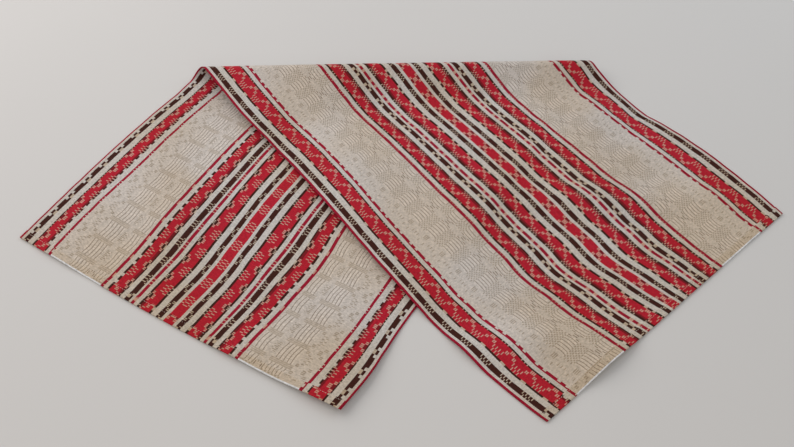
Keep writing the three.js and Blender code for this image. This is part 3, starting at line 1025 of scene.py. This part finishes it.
def woven_material(settings, groups):
    """The cloth: its bands, then its hems, its painted warm and cool light, its yarn and the painted
    highlight between its fine lines.
    """
    material, wire = new_material("woven_linen_cloth")
    along, across, _ = wire.split(wire.node("ShaderNodeUVMap", uv_map="cloth_place").outputs[0])
    colour, linen, crown, ridge = band_colour(wire, settings, groups, along, across)
    weft_pitch = settings.cell / PICKS_IN_CELL
    yarn = wire.group(
        groups["yarn"], along=along, across=across, weft_pitch=weft_pitch, warp_pitch=settings.warp_pitch
    )
    hand = wire.group(groups["hand"], along=along, across=across, strength=CLOTH_TONE)

    from_hem = wire.attribute("from_hem")
    # Masks by length from the hem: the tint of the turned hem, the painted warm light that fades away from
    # the hems, and the pale turned edge with its painted highlight
    hem, painted_warm_near_hem, edge = (
        wire.rest(wire.smooth(from_hem, start * MM, end * MM))
        for start, end in (HEM_TINT_SPAN, PAINTED_WARM_SPAN, HEM_FOLD_AND_HIGHLIGHT_SPAN)
    )
    hem_share = wire.times(hem, wire.weighted(HEM_TINT_SHARE, (linen, HEM_TINT_ON_LINEN)))
    colour = wire.mix(hem_share, colour, wire.tinted(colour, (*settings.hem_tint, 1)))
    # Painted light: the colour is tinted between a cool and a warm light, in patches and warmer near the hems
    painted_warmth = wire.times(hand["Painted light"], PAINTED_WARMTH_BY_PATCHES)
    painted_warmth = wire.math("ADD", painted_warmth, wire.times(painted_warm_near_hem, PAINTED_WARMTH_BY_HEM), clamp=True)
    drift = wire.mix(painted_warmth, (*settings.painted_cool_light, 1), (*settings.painted_warm_light, 1))
    # The linen's turned edge is painted pale: partly its own paler fold, partly a painted highlight
    colour = wire.mix(wire.times(linen, edge), wire.tinted(colour, drift), (*settings.hem_fold_and_highlight, 1))
    tone = wire.times(yarn["Shade"], hand["Tone"])
    # Painted highlight: the raised weft between two fine lines is painted lighter
    tone = wire.times(tone, wire.weighted(1, (ridge, RIDGE_PAINTED_HIGHLIGHT)))
    colour = wire.tinted(colour, wire.grey(tone))

    roughness = wire.weighted(CLOTH_ROUGH[0], (hand["Fibre"], CLOTH_ROUGH[1]))
    shader = surface_shader(wire, colour, roughness, CLOTH_SHEEN)
    parts = (yarn["Height"], BUMP_OF_YARN), (hand["Fibre"], BUMP_OF_FIBRE), (crown, BUMP_OF_CROWN)
    height = wire.weighted(0, *parts, (ridge, BUMP_OF_RIDGE))
    wire.feed(shader.inputs["Normal"], wire.bump(height, CLOTH_BUMP_DEPTH, CLOTH_BUMP_STRENGTH))
    return material


def stitch_material(settings, groups):
    """Sewing thread, twisted along its stitch."""
    material, wire = new_material("hem_sewing_thread")
    place = wire.node("ShaderNodeTexCoord").outputs["Object"]
    right, away, _ = wire.split(place)
    hand = wire.group(groups["hand"], along=right, across=away, strength=THREAD_TONE)
    colour = wire.tinted((*settings.thread, 1), wire.grey(hand["Tone"]))
    roughness = wire.weighted(THREAD_ROUGH[0], (hand["Fibre"], THREAD_ROUGH[1]))
    shader = surface_shader(wire, colour, roughness, THREAD_SHEEN)
    inputs = {"Vector": place, "Scale": TWISTS}
    twist = wire.node("ShaderNodeTexWave", inputs, wave_type="BANDS", bands_direction="DIAGONAL")
    height = wire.plus(twist.outputs["Fac"], hand["Fibre"])
    wire.feed(shader.inputs["Normal"], wire.bump(height, THREAD_BUMP_DEPTH))
    return material


def shared_groups():
    """The shader groups, built once."""
    builders = {
        "marks": ("woven_cell_marks", cell_marks_group),
        "lines": ("woven_fine_lines", fine_lines_group),
        "yarn": ("woven_yarn", yarn_group),
        "hand": ("cloth_tone_and_painted_light", tone_and_light_group),
    }
    return {key: bpy.data.node_groups.get(name) or build() for key, (name, build) in builders.items()}


# Geometry Nodes tree of the hem stitches


def stitch_tree(material):
    """Beads of thread along the edges of a mesh, each a little different."""
    tree = bpy.data.node_groups.new("hem_stitch_run", "GeometryNodeTree")
    tree.interface.new_socket("Geometry", in_out="INPUT", socket_type="NodeSocketGeometry")
    sizes = {"Stitch pitch": STITCH_PITCH, "Stitch length": STITCH_LENGTH, "Thread width": THREAD_WIDTH}
    for label, value in sizes.items():
        socket = tree.interface.new_socket(label, in_out="INPUT", socket_type="NodeSocketFloat")
        socket.subtype = "DISTANCE"
        socket.default_value = value * MM
    seed = tree.interface.new_socket("Seed", in_out="INPUT", socket_type="NodeSocketInt")
    seed.default_value = STITCH_SEED
    tree.interface.new_socket("Geometry", in_out="OUTPUT", socket_type="NodeSocketGeometry")
    wire = Wiring(tree)
    given = wire.node("NodeGroupInput").outputs
    result = wire.node("NodeGroupOutput").inputs
    curve = wire.node("GeometryNodeMeshToCurve", {"Mesh": given["Geometry"]}).outputs[0]
    inputs = {"Curve": curve, "Length": given["Stitch pitch"]}
    spaced = wire.node("GeometryNodeResampleCurve", inputs, mode="LENGTH").outputs[0]
    bead = wire.node("GeometryNodeMeshUVSphere", BEAD).outputs["Mesh"]
    height = wire.times(given["Thread width"], THREAD_FLATNESS)
    size = wire.join(given["Stitch length"], given["Thread width"], height)
    shaped = wire.node("GeometryNodeTransform", {"Geometry": bead, "Scale": size}).outputs[0]
    inputs = {"Vector": wire.node("GeometryNodeInputTangent").outputs[0]}
    turn = wire.node("FunctionNodeAlignRotationToVector", inputs, axis="X", pivot_axis="Z").outputs[0]
    inputs = {0: STITCH_LEAST, 1: STITCH_MOST, "Seed": given["Seed"]}
    scale = wire.node("FunctionNodeRandomValue", inputs, data_type="FLOAT_VECTOR").outputs[0]
    inputs = {"Points": spaced, "Instance": shaped, "Rotation": turn, "Scale": scale}
    placed = wire.node("GeometryNodeInstanceOnPoints", inputs).outputs[0]
    real = wire.node("GeometryNodeRealizeInstances", {0: placed}).outputs[0]
    painted = wire.node("GeometryNodeSetMaterial", {"Geometry": real, "Material": material})
    wire.feed(result["Geometry"], painted.outputs[0])
    return tree


def stitch_lines(from_edge, shift):
    """Runs along both hems, over and under the cloth, as points in metres."""
    share = np.linspace(STITCH_INSET, WIDTH - STITCH_INSET, STITCH_POINTS) / WIDTH
    runs = []
    for wing in ("lower", "upper"):
        middle, behind, beside = (
            np.column_stack(middle_of(Row(wing, from_edge + further), share + aside)[:2])
            for further, aside in ((0, 0), (BEHIND_STITCH, 0), (0, BESIDE_STITCH))
        )
        normal = np.cross(beside - middle, behind - middle)
        normal /= np.linalg.norm(normal, axis=1, keepdims=True)
        normal *= np.sign(normal[:, 2:3])
        runs += [middle + normal * STITCH_OVER, middle - normal * STITCH_UNDER]
    return [run * MM + shift for run in runs]


def plain_mesh(piece):
    """The evaluated piece as a plain mesh, its modifiers gone."""
    graph = bpy.context.evaluated_depsgraph_get()
    made = bpy.data.meshes.new_from_object(piece.evaluated_get(graph))
    piece.modifiers.clear()
    piece.data = made
    return piece


def new_piece(name, mesh):
    """An object at the origin, in the scene."""
    piece = bpy.data.objects.new(name, mesh)
    bpy.context.scene.collection.objects.link(piece)
    return piece


# What a user may change


ColourProperty = partial(FloatVectorProperty, min=0, max=1, size=3, subtype="COLOR")
LengthProperty = partial(FloatProperty, unit="LENGTH")


class RunnerClothSettings(bpy.types.PropertyGroup):
    cell: LengthProperty(
        name="Cell", description="Length of one cell of the weave's repeat", default=CELL * MM, min=0.0005
    )
    warp_pitch: LengthProperty(
        name="Warp pitch", description="Distance between warp threads", default=WARP_PITCH * MM, min=0.0002
    )
    thickness_share: FloatProperty(
        name="Thickness share",
        description="Share of the solid's thickness",
        default=0.94,
        min=0.5,
        max=1,
        subtype="FACTOR",
    )
    hem_tint: ColourProperty(name="Hem tint", description="Tint of the turned hems", default=(0.9, 0.8, 0.62))
    # The linen's edge where it turns: partly its own paler fold, partly a painted highlight
    hem_fold_and_highlight: ColourProperty(
        name="Hem fold and highlight", description="The linen's edge where it turns", default=(0.84, 0.84, 0.85)
    )
    # Tints of painted light: the cool light on the whitest parts and the warm light on the yellowest
    painted_cool_light: ColourProperty(
        name="Painted cool light", description="Tint of the whitest parts", default=(0.96, 0.98, 1.0)
    )
    painted_warm_light: ColourProperty(
        name="Painted warm light", description="Tint of the yellowest parts", default=(0.88, 0.82, 0.715)
    )


for _name, _label, _text, _colour in THREADS:
    RunnerClothSettings.__annotations__[_name] = ColourProperty(
        name=_label, description=_text, default=_colour
    )


class RunnerHemSettings(bpy.types.PropertyGroup):
    from_edge: FloatProperty(
        name="From the edge",
        description="Distance of the stitches from the hem's edge, in millimetres",
        default=9.2,
        min=3,
        max=11,
    )
    pitch: LengthProperty(
        name="Stitch pitch", description="Distance between stitches", default=STITCH_PITCH * MM, min=0.001
    )
    length: LengthProperty(
        name="Stitch length", description="Length of one stitch", default=STITCH_LENGTH * MM, min=0.0005
    )
    width: LengthProperty(
        name="Thread width", description="Width of the sewing thread", default=THREAD_WIDTH * MM, min=0.0001
    )
    seed: IntProperty(
        name="Seed", description="Seed of the stitches' small differences", default=STITCH_SEED, min=0
    )
    thread: ColourProperty(
        name="Thread", description="Colour of the sewing thread", default=(0.62, 0.55, 0.45)
    )


class RunnerStageSettings(bpy.types.PropertyGroup):
    floor: ColourProperty(name="Floor", description="Colour of the floor", default=(0.64, 0.625, 0.61))
    light: FloatProperty(
        name="Light", description="Share of the lamps' power", default=1, min=0, subtype="FACTOR"
    )


class RUNNER_OT_lay_cloth(bpy.types.Operator):
    """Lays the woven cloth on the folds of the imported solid"""

    bl_idname = "runner.lay_cloth"
    bl_label = "Lay the cloth"

    def execute(self, context):
        settings = context.scene.runner_cloth
        mesh = build_cloth_mesh(settings.thickness_share)
        if mesh.validate():
            raise RuntimeError("the cloth's mesh has faces that can't stand")
        context.scene["runner_shift"] = list(settle(mesh))
        mesh.materials.append(woven_material(settings, shared_groups()))
        cloth = new_piece("runner_cloth_woven", mesh)
        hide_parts("runner_cloth")
        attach(cloth, "root")
        return {"FINISHED"}


class RUNNER_OT_stitch_hems(bpy.types.Operator):
    """Sews a run of stitches along both hems"""

    bl_idname = "runner.stitch_hems"
    bl_label = "Stitch the hems"

    def execute(self, context):
        settings = context.scene.runner_hems
        runs = stitch_lines(settings.from_edge, np.array(context.scene["runner_shift"]))
        points, edges = [], []
        for run in runs:
            first = len(points)
            points.extend(run.tolist())
            edges.extend((k, k + 1) for k in range(first, len(points) - 1))
        mesh = bpy.data.meshes.new("runner_hem_stitches")
        mesh.from_pydata(points, edges, [])
        piece = new_piece("runner_hem_stitches", mesh)
        tree = stitch_tree(stitch_material(settings, shared_groups()))
        modifier = piece.modifiers.new("stitches", "NODES")
        modifier.node_group = tree
        wanted = {
            "Stitch pitch": settings.pitch,
            "Stitch length": settings.length,
            "Thread width": settings.width,
            "Seed": settings.seed,
        }
        for item in tree.interface.items_tree:
            if item.in_out == "INPUT" and item.name in wanted:
                modifier[item.identifier] = wanted[item.name]
        plain_mesh(piece)
        if not piece.data.polygons:
            raise RuntimeError("the hem stitches came out empty")
        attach(piece, "root")
        return {"FINISHED"}


def floor_material(colour):
    """A matt pale floor, a little cloudy."""
    material, wire = new_material("studio_floor")
    place = wire.node("ShaderNodeTexCoord").outputs["Object"]
    roughness = wire.weighted(FLOOR_ROUGH[0], (wire.noise(place, FLOOR_PATCHES), FLOOR_ROUGH[1]))
    cloud = wire.weighted(FLOOR_TONE[0], (wire.noise(place, FLOOR_CLOUDS), FLOOR_TONE[1]))
    surface_shader(wire, wire.tinted((*colour, 1), wire.grey(cloud)), roughness, FLOOR_SHEEN)
    return material


def photo_camera():
    """The camera of the photograph: turned down, then rolled about its own line of sight."""
    sine, cosine = math.sin(CAMERA_DOWN), math.cos(CAMERA_DOWN)
    right, up, ahead = Vector((1, 0, 0)), Vector((0, sine, cosine)), Vector((0, cosine, -sine))
    rolled_right = right * math.cos(CAMERA_ROLL) + up * math.sin(CAMERA_ROLL)
    rolled_up = up * math.cos(CAMERA_ROLL) - right * math.sin(CAMERA_ROLL)
    turn = Matrix((rolled_right, rolled_up, -ahead)).transposed().to_4x4()
    data = bpy.data.cameras.new("photo_camera")
    data.sensor_width = SENSOR_WIDTH
    data.lens = CAMERA_FOCAL_PIXELS / PHOTO_SIZE[0] * SENSOR_WIDTH
    data.clip_start = CAMERA_NEAREST
    camera = new_piece("photo_camera", data)
    camera.matrix_world = Matrix.Translation(Vector(CAMERA_PLACE)) @ turn
    return camera


class RUNNER_OT_set_stage(bpy.types.Operator):
    """Sets the plain floor, the soft lamps and the camera"""

    bl_idname = "runner.set_stage"
    bl_label = "Set the stage"

    def execute(self, context):
        settings = context.scene.runner_stage
        half = FLOOR_SIZE / 2
        corners = [(-half, -half), (half, -half), (half, half), (-half, half)]
        mesh = bpy.data.meshes.new("studio_floor")
        mesh.from_pydata([(x, y, -FLOOR_DROP) for x, y in corners], [], [(0, 1, 2, 3)])
        mesh.materials.append(floor_material(settings.floor))
        new_piece("studio_floor", mesh)
        for lamp in LAMPS:
            data = bpy.data.lights.new(lamp.name, "AREA")
            data.shape = "RECTANGLE"
            data.size, data.size_y = lamp.width, lamp.height
            data.energy = lamp.power * settings.light
            data.color = lamp.colour
            light = new_piece(lamp.name, data)
            light.location = lamp.place
            light.rotation_euler = (-Vector(lamp.place)).to_track_quat("-Z", "Y").to_euler()
        world = bpy.data.worlds.new("studio_air")
        world.use_nodes = True
        air = world.node_tree.nodes["Background"]
        air.inputs["Color"].default_value = (*WORLD_COLOUR, 1)
        air.inputs["Strength"].default_value = WORLD_STRENGTH
        context.scene.world = world
        context.scene.view_settings.view_transform = "Standard"
        context.scene.camera = photo_camera()
        return {"FINISHED"}


class RUNNER_PT_sidebar(bpy.types.Panel):
    bl_label = "Folded runner"
    bl_idname = "RUNNER_PT_sidebar"
    bl_space_type = "VIEW_3D"
    bl_region_type = "UI"
    bl_category = "Runner"

    def draw(self, context):
        scene = context.scene
        for operator, settings in (
            (RUNNER_OT_lay_cloth, scene.runner_cloth),
            (RUNNER_OT_stitch_hems, scene.runner_hems),
            (RUNNER_OT_set_stage, scene.runner_stage),
        ):
            box = self.layout.box()
            box.operator(operator.bl_idname)
            for key in settings.__annotations__:
                box.prop(settings, key)


CLASSES = (
    RunnerClothSettings,
    RunnerHemSettings,
    RunnerStageSettings,
    RUNNER_OT_lay_cloth,
    RUNNER_OT_stitch_hems,
    RUNNER_OT_set_stage,
    RUNNER_PT_sidebar,
)


def register():
    for kind in CLASSES:
        bpy.utils.register_class(kind)
    bpy.types.Scene.runner_cloth = PointerProperty(type=RunnerClothSettings)
    bpy.types.Scene.runner_hems = PointerProperty(type=RunnerHemSettings)
    bpy.types.Scene.runner_stage = PointerProperty(type=RunnerStageSettings)


def unregister():
    del bpy.types.Scene.runner_stage, bpy.types.Scene.runner_hems, bpy.types.Scene.runner_cloth
    for kind in reversed(CLASSES):
        bpy.utils.unregister_class(kind)


def main():
    register()
    bpy.ops.runner.lay_cloth()
    bpy.ops.runner.stitch_hems()
    bpy.ops.runner.set_stage()


if __name__ == "__main__":
    main()
